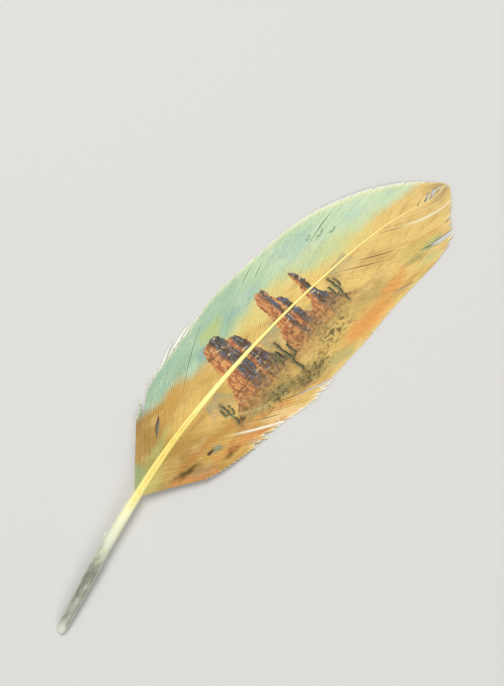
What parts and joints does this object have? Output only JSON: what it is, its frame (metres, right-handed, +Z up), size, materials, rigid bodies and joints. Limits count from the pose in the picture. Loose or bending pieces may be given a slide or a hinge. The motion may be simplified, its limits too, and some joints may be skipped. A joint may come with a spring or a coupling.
{
  "type": "hat feather",
  "caption": "Curved wing feather with a bare quill and two vanes of clinging barbs, tinted and printed on its upper side; it trims a hat band or lies flat.",
  "frame": {"origin": "middle of the feather's box, on the surface that it lies on", "axes": "+Y from the quill's end to the tip, +Z up out of the printed side, +X across towards the vane that is narrow at the tip's bend"},
  "size_m": [0.0612, 0.2496, 0.0084],
  "materials": {
    "vane": "soft barbs with a satin sheen, washed in teal, gold and rust",
    "quill": "smooth horn, semi-matt"
  },
  "bodies": {
    "root": {"feather": "vane"}
  },
  "joints": []
}
